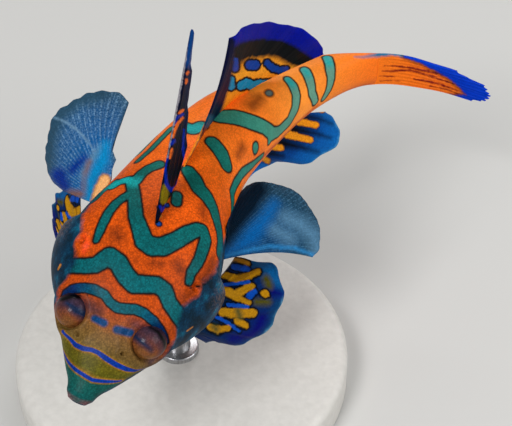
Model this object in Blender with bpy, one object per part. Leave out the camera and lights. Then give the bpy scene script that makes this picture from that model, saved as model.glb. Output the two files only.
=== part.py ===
"""Mandarinfish, a still life-size display model on a plain stand. Metres, +Z up.

The origin is the centre of the underside of the stand's base. The fish swims with its head
towards -Y, rolled a little to its left, and its tail bends to its own left, towards +X.
Sizes are in millimetres until a mesh is finished. A place on the body is given as the distance
along the body's axis from the snout tip, and the angle from the back, plus towards the left.
"""

from math import cos, exp, radians, sin

import bmesh
import bpy
from mathutils import Matrix, Vector

MM = 0.001
GAP = 0.3

# Lengths of the body's parts, by distance from the front of the axis. The lips end blunt there.
LIPS = 0.9
HEAD_END = 15.5
TORSO_END = 34.0
TAIL_BASE_END = 51.5
SNOUT = (-8.2, -19.8, 17.6)
BODY_SIDES = 40

# The axis from the snout backwards: its heading from +X, its climb, and the body's roll.
HEADING = ((0, 62), (6, 66), (12, 70), (24, 69), (30, 63), (36, 50), (42, 44), (48, 28),
           (53, 6), (58, -20), (65, -34))
CLIMB = ((0, 24), (8, 20), (14, 12), (20, 5), (30, 0), (66, 0))
ROLL = ((0, -11), (12, -17), (22, -14), (34, -7), (50, -2))

# Half width of the body, its height above the axis and its depth below, by distance.
HALF_WIDTH = ((0, 0.6), (0.9, 0.9), (2, 1.55), (6, 4.15), (10, 6.25), (15, 7.2), (21.5, 5.9),
              (28.5, 4.8), (35, 4.1), (42, 3.0), (48, 2.05), (51.5, 1.1))
RISE = ((0, 0.45), (0.9, 0.8), (2, 1.35), (6, 3.0), (10, 4.7), (15, 5.8), (21.5, 5.4),
        (28.5, 4.7), (35, 4.2), (42, 3.2), (48, 2.5), (51.5, 2.15))
DROP = ((0, 0.55), (0.9, 0.9), (2, 1.45), (6, 3.1), (10, 4.5), (15, 5.6), (21.5, 5.2),
        (28.5, 4.6), (35, 4.1), (42, 3.1), (48, 2.4), (51.5, 2.1))
SQUARENESS = 0.92

EYE_AT = 7.5
EYE_OUT = 3.45
EYE_UP = 2.0
EYE_RADIUS = 1.6

# Swellings of the skin beyond its plain sections, alike on both sides:
# height, place along the body, spread along it, angle from the back, spread around.
ALL_ROUND = 1000
SWELLINGS = {
    "lips": (0.12, 1.3, 0.35, 90, ALL_ROUND),
    "behind_lips": (-0.08, 2.3, 0.5, 90, ALL_ROUND),
    "between_eyes": (-0.25, 7.7, 3.0, 0, 20),
    "chin": (-0.35, 5.5, 3.0, 180, 45),
    "throat": (0.45, 11.5, 3.0, 180, 50),
}

# The gill cover's flap stands out from the cheek and ends in a free edge just before the shoulder.
FLAP_START = 8.5
FLAP_END = 15.6
FLAP_HEIGHT = 1.0
FLAP_ANGLE = 102
FLAP_SPREAD = 30

# Raised rim of the eye socket.
RIM_OUT = 0.3
RIM_HEIGHT = 0.4
RIM_SPREAD = 0.5


def along(table, place):
    """Smooth value of a (place, value) table."""
    xs = [row[0] for row in table]
    ys = [row[1] for row in table]
    if place <= xs[0]:
        return ys[0]
    if place >= xs[-1]:
        return ys[-1]
    i = max(k for k in range(len(xs) - 1) if xs[k] <= place)
    step = xs[i + 1] - xs[i]

    def slope(k):
        low, high = max(k - 1, 0), min(k + 1, len(xs) - 1)
        return (ys[high] - ys[low]) / (xs[high] - xs[low])

    t = (place - xs[i]) / step
    value = (2 * t**3 - 3 * t**2 + 1) * ys[i] + (3 * t**2 - 2 * t**3) * ys[i + 1]
    return value + step * ((t**3 - 2 * t**2 + t) * slope(i) + (t**3 - t**2) * slope(i + 1))


def bump(value, middle, spread):
    """A bell of height 1 at middle."""
    return exp(-(((value - middle) / spread) ** 2))


AXIS_STEP = 0.25
AXIS_END = 70.0


def back_of(s):
    """Unit vector towards the tail at distance s."""
    heading, climb = radians(along(HEADING, s)), radians(along(CLIMB, s))
    return Vector((cos(heading) * cos(climb), sin(heading) * cos(climb), sin(climb)))


def axis_points():
    """Points of the body's axis at every AXIS_STEP, found by adding up its heading."""
    points = [Vector(SNOUT)]
    for k in range(int(AXIS_END / AXIS_STEP)):
        points.append(points[-1] + back_of((k + 0.5) * AXIS_STEP) * AXIS_STEP)
    return points


AXIS = axis_points()


def frame_at(s):
    """Centre, and the unit vectors back, left and up, of the body at distance s."""
    place = min(max(s / AXIS_STEP, 0), len(AXIS) - 1.001)
    k = int(place)
    centre = AXIS[k].lerp(AXIS[k + 1], place - k)
    back = back_of(s)
    level = back.cross(Vector((0, 0, 1))).normalized()
    above = level.cross(back).normalized()
    roll = radians(along(ROLL, s))
    left = level * cos(roll) + above * sin(roll)
    up = above * cos(roll) - level * sin(roll)
    return centre, back, left, up


def eye_centre(side):
    centre, _, left, up = frame_at(EYE_AT)
    return centre + left * (side * EYE_OUT) + up * EYE_UP


EYES = {side: eye_centre(side) for side in (1, -1)}


def skin_offset(s, angle, plain):
    """How far the skin swells out from the plain section at a point."""
    around = abs(angle)
    total = 0.0
    for height, place, spread, middle, spread_round in SWELLINGS.values():
        total += height * bump(s, place, spread) * bump(around, middle, spread_round)
    if FLAP_START < s < FLAP_END:
        share = (s - FLAP_START) / (FLAP_END - FLAP_START)
        total += FLAP_HEIGHT * share * (2 - share) * bump(around, FLAP_ANGLE, FLAP_SPREAD)
    if s < 2 * EYE_AT:
        for centre in EYES.values():
            out = (plain - centre).length
            total += RIM_HEIGHT * bump(out, EYE_RADIUS + GAP + RIM_OUT, RIM_SPREAD)
    return total


def body_point(s, angle, grow=0.0):
    """Point of the body's surface."""
    centre, back, left, up = frame_at(s)
    a = radians(angle)
    wide = along(HALF_WIDTH, s) + grow
    tall = (along(RISE, s) if cos(a) > 0 else along(DROP, s)) + grow
    x = abs(sin(a)) ** SQUARENESS * (1 if sin(a) >= 0 else -1)
    z = abs(cos(a)) ** SQUARENESS * (1 if cos(a) >= 0 else -1)
    plain = centre + left * (wide * x) + up * (tall * z)
    return plain + (left * sin(a) + up * cos(a)) * skin_offset(s, angle, plain)


def new_object(name, bm, material, collection):
    """An object from a bmesh whose points are in millimetres."""
    bmesh.ops.scale(bm, vec=(MM, MM, MM), verts=bm.verts)
    bmesh.ops.recalc_face_normals(bm, faces=bm.faces)
    mesh = bpy.data.meshes.new(name)
    bm.to_mesh(mesh)
    bm.free()
    if material:
        mesh.materials.append(material)
    mesh.shade_smooth()
    mesh.set_sharp_from_angle(angle=radians(40))
    thing = bpy.data.objects.new(name, mesh)
    collection.objects.link(thing)
    return thing


def loft(rings):
    """A closed bmesh through rings of points, with a flat face on each end."""
    bm = bmesh.new()
    rows = [[bm.verts.new(p) for p in ring] for ring in rings]
    for low, high in zip(rows, rows[1:]):
        for k in range(len(low)):
            n = (k + 1) % len(low)
            bm.faces.new((low[k], low[n], high[n], high[k]))
    bm.faces.new(rows[0][::-1])
    bm.faces.new(rows[-1])
    return bm


def body_length(places, grow=0.0):
    """A length of the body through rings at the given distances."""
    turns = [360 * k / BODY_SIDES - 180 for k in range(BODY_SIDES)]
    return loft([[body_point(s, turn, grow) for turn in turns] for s in places])


def spaced(start, end, steps):
    return [start + (end - start) * k / steps for k in range(steps + 1)]


HEAD_PLACES = spaced(LIPS, 1.5, 3) + spaced(1.8, 3.6, 4) + spaced(4.1, HEAD_END, 24)
TORSO_PLACES = spaced(HEAD_END + GAP, TORSO_END, 16)
TAIL_BASE_PLACES = spaced(TORSO_END + GAP, TAIL_BASE_END, 14)


def keep_largest(thing):
    """Keep only the largest closed surface of an object's mesh."""
    bm = bmesh.new()
    bm.from_mesh(thing.data)
    left_over = set(bm.verts)
    shells = []
    while left_over:
        shell, edge = set(), [left_over.pop()]
        while edge:
            v = edge.pop()
            shell.add(v)
            for e in v.link_edges:
                other = e.other_vert(v)
                if other in left_over:
                    left_over.discard(other)
                    edge.append(other)
        shells.append(shell)

    def size(shell):
        return sum(f.calc_area() for f in {f for v in shell for f in v.link_faces})

    largest = max(shells, key=size)
    bmesh.ops.delete(bm, geom=[v for v in bm.verts if v not in largest], context="VERTS")
    bm.to_mesh(thing.data)
    bm.free()


def carve(thing, operation, tools):
    """Join tools to an object or cut it with them, apply that, and keep the largest surface."""
    modifier = thing.modifiers.new(operation.lower(), "BOOLEAN")
    modifier.operation = operation
    modifier.operand_type = "COLLECTION"
    modifier.collection = tools
    for solver in ("EXACT", "MANIFOLD"):
        modifier.solver = solver
        seen = thing.evaluated_get(bpy.context.evaluated_depsgraph_get())
        mesh = bpy.data.meshes.new_from_object(seen)
        if len(mesh.polygons) > len(thing.data.polygons) / 4:
            break
    thing.modifiers.clear()
    thing.data = mesh
    keep_largest(thing)


def tool_collection(name):
    made = bpy.data.collections.new(name)
    bpy.context.scene.collection.children.link(made)
    return made


def drop_collection(tools):
    for thing in list(tools.objects):
        bpy.data.objects.remove(thing)
    bpy.data.collections.remove(tools)


def material_of(name, colour, roughness, metallic=0.0):
    """A plain finish; the colour is sRGB, from 0 to 1."""
    made = bpy.data.materials.new(name)
    made.use_nodes = True
    shader = made.node_tree.nodes["Principled BSDF"]
    linear = [c / 12.92 if c <= 0.04045 else ((c + 0.055) / 1.055) ** 2.4 for c in colour]
    shader.inputs["Base Color"].default_value = (*linear, 1)
    shader.inputs["Roughness"].default_value = roughness
    shader.inputs["Metallic"].default_value = metallic
    return made


# Head

MOUTH_WIDTH = 1.6
MOUTH_DEPTH = 0.8
MOUTH_SLIT = 0.26
MOUTH_LEVEL = -0.12
MOUTH_DROOP = 0.35
CUT_OVERHANG = 1.0
# A nostril is a short tube and a gill opening a low round rim: each has its place, its angle, the
# radii of the rim at its foot and top, how far it stands out, and the radius of the hole.
NOSTRIL = {"at": 4.4, "angle": 40, "foot": 0.45, "top": 0.31, "height": 0.35, "hole": 0.18}
GILL_PORE = {"at": 12.0, "angle": 44, "foot": 0.95, "top": 0.65, "height": 0.45, "hole": 0.4}
HOLE_DEPTH = 0.25


def turned_to(direction, origin):
    """Matrix that carries +Z to a direction, and the origin to a point."""
    return Matrix.Translation(origin) @ direction.to_track_quat("Z", "Y").to_matrix().to_4x4()


def outward_at(s, angle):
    """Point of the skin and the direction out of it."""
    spot = body_point(s, angle)
    across = body_point(s, angle + 2) - body_point(s, angle - 2)
    length = body_point(s + 0.2, angle) - body_point(s - 0.2, angle)
    out = across.cross(length).normalized()
    centre = frame_at(s)[0]
    return spot, out if out.dot(spot - centre) > 0 else -out


def cone_bmesh(low_radius, high_radius, height, place, sides=14):
    bm = bmesh.new()
    bmesh.ops.create_cone(bm, cap_ends=True, segments=sides, radius1=low_radius,
                          radius2=high_radius, depth=height, matrix=place)
    return bm


def mouth_cutter():
    """A thin slab that bends down at the corners of the mouth."""
    centre, back, left, up = frame_at(LIPS)
    bm = bmesh.new()
    bmesh.ops.create_cube(bm, size=1)
    length = [e for e in bm.edges if abs(e.verts[0].co.x - e.verts[1].co.x) > 0.5]
    bmesh.ops.subdivide_edges(bm, edges=length, cuts=6, use_grid_fill=True)
    for v in bm.verts:
        x = v.co.x * MOUTH_WIDTH
        y = (v.co.y + 0.5) * (MOUTH_DEPTH + CUT_OVERHANG) - CUT_OVERHANG
        z = v.co.z * MOUTH_SLIT + MOUTH_LEVEL - MOUTH_DROOP * x * x
        v.co = centre + left * x + back * y + up * z
    return bm


def add_pore(pore, side, added, removed):
    """The raised rim of an opening in the skin, and the cutter of its hole."""
    spot, out = outward_at(pore["at"], side * pore["angle"])
    height = pore["height"]
    rim = cone_bmesh(pore["foot"], pore["top"], 2 * height, turned_to(out, spot))
    new_object("pore_rim", rim, None, added)
    depth = height + HOLE_DEPTH + CUT_OVERHANG
    middle = spot + out * (depth / 2 - HOLE_DEPTH)
    hole = cone_bmesh(pore["hole"], pore["hole"], depth, turned_to(out, middle))
    new_object("pore_hole", hole, None, removed)


def make_head(fish, material):
    head = new_object("head", body_length(HEAD_PLACES), material, fish)
    added = tool_collection("head_additions")
    removed = tool_collection("head_cuts")
    for side in (1, -1):
        add_pore(NOSTRIL, side, added, removed)
        add_pore(GILL_PORE, side, added, removed)
        socket = bmesh.new()
        bmesh.ops.create_uvsphere(socket, u_segments=22, v_segments=14, radius=EYE_RADIUS + GAP,
                                  matrix=eye_place(side))
        new_object("eye_socket", socket, None, removed)
    new_object("mouth_slit", mouth_cutter(), None, removed)
    carve(head, "UNION", added)
    carve(head, "DIFFERENCE", removed)
    drop_collection(added)
    drop_collection(removed)


# Eyes

GAZE_UP = 38
GAZE_FORWARD = 20


def eye_place(side):
    """The eye's frame, +Z along its gaze: outwards, and a little up and forward."""
    centre, back, left, up = frame_at(EYE_AT)
    rise, forward = radians(GAZE_UP), radians(GAZE_FORWARD)
    level = left * (side * cos(forward)) - back * sin(forward)
    return turned_to(level * cos(rise) + up * sin(rise), EYES[side])


def make_eyes(fish, material):
    for word, side in (("left", 1), ("right", -1)):
        ball = bmesh.new()
        bmesh.ops.create_uvsphere(ball, u_segments=22, v_segments=14, radius=EYE_RADIUS,
                                  matrix=eye_place(side))
        new_object("eye_" + word, ball, material, fish)


# Fins

MEMBRANE = 0.5
RAY = 0.86
TIP = 0.34
TAPER_FROM = 0.75
SINK = 0.6

# Each fin has a root, from front to back, as (share across, distance) and (share across, angle),
# and the tips of some of its rays from the root as (back, left, up), with left and right changed
# over on the right side, which is side -1. Its first and last rays bow half way up by "bow".
FIRST_DORSAL = {
    "at": ((0, 15.8), (1, 20.5)), "angle": ((0, 0), (1, 0)), "side": 1, "rays": 4,
    "tips": ((5.3, -2.4, 19.1), (4.2, -1.7, 13.2), (2.4, -0.9, 8.1), (0.8, 0, 3.9)),
    "bow": ((0, 0, 0), (0, 0, 0)), "scallop": 0.05, "rows": 9,
}
SECOND_DORSAL = {
    "at": ((0, 22.8), (1, 40.0)), "angle": ((0, 0), (1, 0)), "side": 1, "rays": 8,
    "tips": ((5.3, 0, 11.5), (4.2, 1.2, 11.3), (7.3, 1.5, 7), (7.6, 1.5, 4.2), (7.1, 1.4, 0.3)),
    "bow": ((0, 0, 0), (0, 0, 0)), "scallop": 0.01, "rows": 8,
}
ANAL = {
    "at": ((0, 32.0), (1, 44.0)), "angle": ((0, 180), (1, 180)), "side": 1, "rays": 7,
    "tips": ((4.6, 1.8, -2.6), (6.9, 1, -4.3), (7.1, 2.9, -5), (8.2, 2.9, -4.3),
             (6.4, -0.9, -3.6)),
    "bow": ((0, 0, 0), (0, 0, 0)), "scallop": 0.03, "rows": 8,
}
# The first rays of the right pectoral fin are short, so they stop at "fold": a share across the
# fin, and the share of the full length that the rays before it have.
PECTORAL_ROOT = {"at": ((0, 20.9), (1, 19.6)), "angle": ((0, 66), (1, 98)), "rays": 14}
LEFT_PECTORAL = {
    **PECTORAL_ROOT, "side": 1,
    "tips": ((7.7, -0.5, -2.6), (9.1, 1.5, -1.4), (9.4, 4.4, -1), (8.4, 6.7, -1.4),
             (6.4, 8, -1.9)),
    "bow": ((0, 0.4, 0), (0.5, 0, 0.4)), "scallop": 0.005, "rows": 8,
}
RIGHT_PECTORAL = {
    **PECTORAL_ROOT, "side": -1,
    "tips": ((5.2, -0.6, 1), (9.5, 2.8, 0.6), (8.6, 5.1, 1.2), (7.1, 6.5, 1.2), (5.8, 7.6, 0.2),
             (4.5, 7.3, -1.2), (3.9, 7.1, -2.6), (3.4, 5.9, -3.9), (3.5, 4.3, -4.7)),
    "bow": ((0, 0.7, 0), (0, 0.5, 0), (0, 0.4, 0)), "scallop": 0.02, "rows": 8,
    "fold": (0.1, 0.37),
}
PELVIC_ROOT = {
    "at": ((0, 12.5), (1, 16.5)), "angle": ((0, 138), (1, 132)), "rays": 6,
    "bow": ((0, 0.3, 0), (0, 0.3, 0)), "scallop": 0.04, "rows": 8,
}
LEFT_PELVIC = {
    **PELVIC_ROOT, "side": 1,
    "tips": ((2.6, 2.8, -5.9), (4, 6.6, -6), (6.6, 7.8, -3.7), (9.4, 5.8, -2.6),
             (8.4, 1.6, -3.7)),
}
RIGHT_PELVIC = {
    **PELVIC_ROOT, "side": -1,
    "tips": ((7, 4, -5.6), (7.8, 5, -5.6), (8.6, 5.6, -5), (9.2, 5.5, -4.6), (9.6, 4.2, -4.4)),
}
FINS = {
    "first_dorsal_fin": FIRST_DORSAL, "second_dorsal_fin": SECOND_DORSAL, "anal_fin": ANAL,
    "pectoral_fin_left": LEFT_PECTORAL, "pectoral_fin_right": RIGHT_PECTORAL,
    "pelvic_fin_left": LEFT_PELVIC, "pelvic_fin_right": RIGHT_PELVIC,
}


def curve_through(points, share):
    """Point at a share of the way along a smooth curve through points."""
    count = len(points) - 1
    axes = [[(k / count, p[i]) for k, p in enumerate(points)] for i in range(3)]
    return Vector([along(axis, share) for axis in axes])


def between_rays(u, rays):
    """0 on a ray and 1 half way between two."""
    phase = u * (rays - 1)
    return 2 * abs(phase - round(phase))


def fin_surface(fin):
    """Surface of a fin: u runs across its rays, v from just inside the body to the margin."""
    fold_at, fold_share = fin.get("fold", (0, 1))

    def surface(u, v):
        if u < fold_at:
            v *= fold_share
        s, angle = along(fin["at"], u), along(fin["angle"], u)
        side = fin["side"]
        root = body_point(s, side * angle, GAP)
        back, left, up = frame_at(s)[1:]
        left = left * side
        tip = curve_through(fin["tips"], u) * (1 - fin["scallop"] * between_rays(u, fin["rays"]))
        reach = back * tip.x + left * tip.y + up * tip.z
        x, y, z = curve_through(fin["bow"], u)
        bow = (back * x + left * y + up * z) * (4 * v * (1 - v))
        start = root - reach.normalized() * SINK
        return start.lerp(root + reach, v) + bow
    return surface


TAIL_LENGTH = 14.2
TAIL_RAYS = 10
TAIL_DEPTH = ((0, 4.3), (0.25, 4.0), (0.5, 3.75), (0.75, 3.2), (1, 3.1))
TAIL_REACH = ((0, 0.72), (0.11, 0.8), (0.22, 0.94), (0.33, 0.97), (0.56, 1), (0.78, 0.97),
              (0.89, 0.93), (1, 0.86))
TAIL_SCALLOP = 0.03
TAIL_ROWS = 10


def tail_surface(u, v):
    """Surface of the tail fin, a half-closed fan that follows the bend of the body."""
    notch = 1 - TAIL_SCALLOP * between_rays(u, TAIL_RAYS)
    reach = TAIL_LENGTH * along(TAIL_REACH, u) * notch
    centre, _, _, up = frame_at(TAIL_BASE_END + GAP + v * reach)
    return centre + up * ((0.5 - u) * along(TAIL_DEPTH, v))


def fin_slab(surface, rays, rows):
    """A closed thin bmesh over a surface, with ridges on its rays, split alike on both faces."""
    bm = bmesh.new()
    bmesh.ops.create_grid(bm, x_segments=2 * (rays - 1), y_segments=rows, size=0.5)
    bmesh.ops.triangulate(bm, faces=bm.faces[:])
    made = bmesh.ops.extrude_face_region(bm, geom=bm.faces[:], use_keep_orig=True)
    top = {v for v in made["geom"] if isinstance(v, bmesh.types.BMVert)}
    small = 1e-3
    for v in bm.verts:
        s, t = v.co.x + 0.5, v.co.y + 0.5
        across = surface(min(s + small, 1), t) - surface(max(s - small, 0), t)
        length = surface(s, min(t + small, 1)) - surface(s, max(t - small, 0))
        full = RAY + (MEMBRANE - RAY) * between_rays(s, rays)
        thick = full + (TIP - full) * max(0.0, (t - TAPER_FROM) / (1 - TAPER_FROM))
        side = 1 if v in top else -1
        v.co = surface(s, t) + across.cross(length).normalized() * (side * thick / 2)
    return bm


def make_fins(fish, materials):
    clear = tool_collection("body_clearance")
    places = HEAD_PLACES[:-1] + [HEAD_END, HEAD_END + GAP] + TORSO_PLACES[1:] + TAIL_BASE_PLACES
    new_object("clearance", body_length(places, GAP), None, clear)
    for name, fin in FINS.items():
        slab = fin_slab(fin_surface(fin), fin["rays"], fin["rows"])
        thing = new_object(name, slab, materials[name], fish)
        carve(thing, "DIFFERENCE", clear)
    drop_collection(clear)
    tail = fin_slab(tail_surface, TAIL_RAYS, TAIL_ROWS)
    new_object("tail_fin", tail, materials["tail_fin"], fish)


# Stand

BASE_RADIUS = 17.0
BASE_HEIGHT = 4.0
BASE_BEVEL = 0.8
BASE_SIDES = 64
ROD_RADIUS = 1.25
ROD_SIDES = 24
ROD_AT = 22.0


def make_stand(fish, base_material, rod_material):
    middle = Matrix.Translation((0, 0, BASE_HEIGHT / 2))
    disc = cone_bmesh(BASE_RADIUS, BASE_RADIUS, BASE_HEIGHT, middle, BASE_SIDES)
    rim = [e for e in disc.edges if all(v.co.z > BASE_HEIGHT - 0.01 for v in e.verts)]
    bmesh.ops.bevel(disc, geom=rim, offset=BASE_BEVEL, segments=3, profile=0.5, affect="EDGES")
    new_object("stand_base", disc, base_material, fish)
    foot = BASE_HEIGHT + GAP
    belly = frame_at(ROD_AT)[0]
    height = belly.z - foot
    middle = Matrix.Translation((belly.x, belly.y, foot + height / 2))
    post = cone_bmesh(ROD_RADIUS, ROD_RADIUS, height, middle, ROD_SIDES)
    rod = new_object("stand_rod", post, rod_material, fish)
    clear = tool_collection("belly_clearance")
    new_object("belly", body_length(TORSO_PLACES, GAP), None, clear)
    carve(rod, "DIFFERENCE", clear)
    drop_collection(clear)


COLOURS = {
    "head": (0.86, 0.36, 0.10), "torso": (0.95, 0.45, 0.12), "tail_base": (0.98, 0.53, 0.18),
    "first_dorsal_fin": (0.07, 0.08, 0.25), "second_dorsal_fin": (0.12, 0.13, 0.60),
    "anal_fin": (0.06, 0.35, 0.70), "pectoral_fin_left": (0.16, 0.38, 0.60),
    "pectoral_fin_right": (0.16, 0.42, 0.62), "pelvic_fin_left": (0.05, 0.20, 0.55),
    "pelvic_fin_right": (0.05, 0.20, 0.55), "tail_fin": (0.93, 0.48, 0.14),
    "eyes": (0.50, 0.25, 0.30),
}


def main():
    for thing in list(bpy.data.objects):
        bpy.data.objects.remove(thing)
    fish = bpy.data.collections.new("mandarinfish")
    bpy.context.scene.collection.children.link(fish)
    materials = {name: material_of(name, colour, 0.4) for name, colour in COLOURS.items()}
    make_head(fish, materials["head"])
    new_object("torso", body_length(TORSO_PLACES), materials["torso"], fish)
    new_object("tail_base", body_length(TAIL_BASE_PLACES), materials["tail_base"], fish)
    make_eyes(fish, materials["eyes"])
    make_fins(fish, materials)
    base = material_of("base_paint", (0.80, 0.79, 0.77), 0.5)
    make_stand(fish, base, material_of("rod_steel", (0.75, 0.75, 0.76), 0.3, 1.0))


main()
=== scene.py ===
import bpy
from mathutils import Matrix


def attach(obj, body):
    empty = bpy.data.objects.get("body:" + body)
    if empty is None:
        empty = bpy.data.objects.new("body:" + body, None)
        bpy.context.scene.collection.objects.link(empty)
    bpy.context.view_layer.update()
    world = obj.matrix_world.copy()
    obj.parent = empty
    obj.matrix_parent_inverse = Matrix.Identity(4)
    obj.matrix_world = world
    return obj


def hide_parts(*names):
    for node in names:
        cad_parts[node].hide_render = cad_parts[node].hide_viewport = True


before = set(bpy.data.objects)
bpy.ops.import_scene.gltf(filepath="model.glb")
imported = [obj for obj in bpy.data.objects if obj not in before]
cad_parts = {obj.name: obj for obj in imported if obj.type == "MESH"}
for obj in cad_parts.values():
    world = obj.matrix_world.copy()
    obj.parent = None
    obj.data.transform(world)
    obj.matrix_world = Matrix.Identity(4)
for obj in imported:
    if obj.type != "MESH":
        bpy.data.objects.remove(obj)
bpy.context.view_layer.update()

# Camera. The photo looks down on the fish from in front of its head, close by, as a macro lens
# does. Lengths in this file are millimetres until a mesh is finished, and pixels are the photo's.
from math import cos, radians, sin

import bmesh
import bpy
import numpy as np
from mathutils import Matrix, Vector

MM = 0.001
PHOTO_WIDTH = 512
PHOTO_HEIGHT = 426
PHOTO_MIDDLE = np.array((PHOTO_WIDTH / 2, PHOTO_HEIGHT / 2))
CAMERA_AIM = np.array((7.6, 0.0, 22.5))
CAMERA_DISTANCE = 137.0
CAMERA_DOWN = 42
PIXELS_PER_MM = 10.64
SENSOR_WIDTH = 36.0

focal_pixels = PIXELS_PER_MM * CAMERA_DISTANCE
look = np.array((0, cos(radians(CAMERA_DOWN)), -sin(radians(CAMERA_DOWN))))
picture_right = np.array((1.0, 0.0, 0.0))
picture_up = np.cross(picture_right, look)
camera_point = CAMERA_AIM - look * CAMERA_DISTANCE


def pixels_of(points):
    """Where points in space lie in the photo, and how far they are from the camera."""
    away = points - camera_point
    depth = away @ look
    x = PHOTO_MIDDLE[0] + focal_pixels * (away @ picture_right) / depth
    y = PHOTO_MIDDLE[1] - focal_pixels * (away @ picture_up) / depth
    return np.stack((x, y), -1), depth


lens = bpy.data.cameras.new("photo_camera")
lens.sensor_fit = "HORIZONTAL"
lens.sensor_width = SENSOR_WIDTH
lens.lens = SENSOR_WIDTH * focal_pixels / PHOTO_WIDTH
lens.clip_start = 0.005
camera = bpy.data.objects.new("photo_camera", lens)
camera.location = camera_point * MM
camera.rotation_euler = (radians(90 - CAMERA_DOWN), 0, 0)
bpy.context.scene.collection.objects.link(camera)
bpy.context.scene.camera = camera


# Skin. The fish has no scales: a smooth, moist skin runs over head, body and tail stalk in one
# piece, so it is a closed mesh drawn over sections across the bent axis. The markings of the photo
# are strokes read off it, laid on the skin where the camera sees them.
AXIS_START = (-8.2, -19.8, 17.6)
AXIS_STEP = 0.25
AXIS_END = 70.0
LIPS = 0.9
SKIN_END = 53.4
HEADING = ((0, 62), (6, 66), (12, 70), (24, 69), (30, 63), (36, 50), (42, 44), (48, 28),
           (53, 6), (58, -20), (65, -34))
CLIMB = ((0, 24), (8, 20), (14, 12), (20, 5), (30, 0), (66, 0))
ROLL = ((0, -11), (12, -17), (22, -14), (34, -7), (50, -2))
HALF_WIDTH = ((0, 0.6), (0.9, 0.9), (2, 1.55), (6, 4.15), (10, 6.25), (15, 7.2), (21.5, 5.9),
              (28.5, 4.8), (35, 4.1), (42, 3.0), (48, 2.0), (51.5, 0.95), (53.5, 0.3))
RISE = ((0, 0.45), (0.9, 0.8), (2, 1.35), (6, 3.0), (10, 4.7), (15, 5.8), (21.5, 5.4),
        (28.5, 4.7), (35, 4.2), (42, 3.2), (48, 2.5), (51.5, 2.15), (53.5, 2.05))
DROP = ((0, 0.55), (0.9, 0.9), (2, 1.45), (6, 3.1), (10, 4.5), (15, 5.6), (21.5, 5.2),
        (28.5, 4.6), (35, 4.1), (42, 3.1), (48, 2.4), (51.5, 2.1), (53.5, 2.0))
SQUARENESS = 0.92
EYE_AT, EYE_OUT, EYE_UP, EYE_RADIUS = 7.5, 3.45, 2.0, 1.6
# Swellings: height, place along the body, spread along it, angle from the back, spread around.
ALL_ROUND = 1000
SWELLINGS = {
    "lips": (0.12, 1.3, 0.35, 90, ALL_ROUND),
    "behind_lips": (-0.08, 2.3, 0.5, 90, ALL_ROUND),
    "between_eyes": (-0.25, 7.7, 3.0, 0, 20),
    "chin": (-0.35, 5.5, 3.0, 180, 45),
    "throat": (0.45, 11.5, 3.0, 180, 50),
}
FLAP_START, FLAP_EDGE, FLAP_END = 8.5, 15.3, 15.9
FLAP_HEIGHT, FLAP_ANGLE, FLAP_SPREAD = 1.0, 102, 30
EYE_RIM = {"out": 2.1, "height": 0.4, "spread": 0.45}
EYE_FOLD = {"out": 1.6, "height": -0.25, "spread": 0.25}
# A pore is a hole in a low round rim.
NOSTRIL = {"at": 5.5, "angle": 30, "rim": 0.26, "height": 0.28, "spread": 0.15, "hole": 0.4}
GILL_PORE = {"at": 12.7, "angle": 47, "rim": 0.5, "height": 0.3, "spread": 0.35, "hole": 0.5}
MOUTH = {"level": -0.12, "droop": 0.35, "half_width": 0.85, "gape": 0.13, "depth": 0.5,
         "reach": 1.0}
SKIN_SIDES = 220
CAP_RINGS, SNOUT_RINGS, HEAD_RINGS, BODY_RINGS = 8, 16, 190, 150
SNOUT_END, HEAD_END = 1.5, 16.5
SNOUT_CAP, TAIL_CAP = 0.25, 0.3


def along(table, place):
    """Smooth values of a (place, value) table at an array of places."""
    xs, ys = np.array(table, float).T
    last = len(xs) - 1
    high = np.minimum(np.arange(last + 1) + 1, last)
    low = np.maximum(np.arange(last + 1) - 1, 0)
    slopes = (ys[high] - ys[low]) / (xs[high] - xs[low])
    p = np.clip(np.asarray(place, float), xs[0], xs[-1])
    i = np.clip(np.searchsorted(xs, p, side="right") - 1, 0, last - 1)
    step = xs[i + 1] - xs[i]
    t = (p - xs[i]) / step
    level = (2 * t**3 - 3 * t**2 + 1) * ys[i] + (3 * t**2 - 2 * t**3) * ys[i + 1]
    return level + step * ((t**3 - 2 * t**2 + t) * slopes[i] + (t**3 - t**2) * slopes[i + 1])


def bump(value, middle, spread):
    """A bell of height 1 at middle."""
    return np.exp(-(((value - middle) / spread) ** 2))


def unit(vectors):
    return vectors / np.linalg.norm(vectors, axis=-1, keepdims=True)


def back_of(s):
    """Unit vectors towards the tail at distances s from the snout."""
    heading, climb = np.radians(along(HEADING, s)), np.radians(along(CLIMB, s))
    level = np.stack((np.cos(heading) * np.cos(climb), np.sin(heading) * np.cos(climb)), -1)
    return np.concatenate((level, np.sin(climb)[..., None]), -1)


axis_places = np.arange(0, AXIS_END + AXIS_STEP / 2, AXIS_STEP)
axis_moves = back_of(axis_places[:-1] + AXIS_STEP / 2) * AXIS_STEP
axis_points = np.array(AXIS_START) + np.concatenate((np.zeros((1, 3)), np.cumsum(axis_moves, 0)))


def frame_at(s):
    """Centres and unit vectors back, left and up of the body at an array of distances."""
    s = np.asarray(s, float)
    centre = np.stack([np.interp(s, axis_places, axis_points[:, i]) for i in range(3)], -1)
    back = back_of(s)
    level = unit(np.cross(back, (0, 0, 1)))
    above = np.cross(level, back)
    roll = np.radians(along(ROLL, s))[..., None]
    left = level * np.cos(roll) + above * np.sin(roll)
    up = above * np.cos(roll) - level * np.sin(roll)
    return centre, back, left, up


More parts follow.
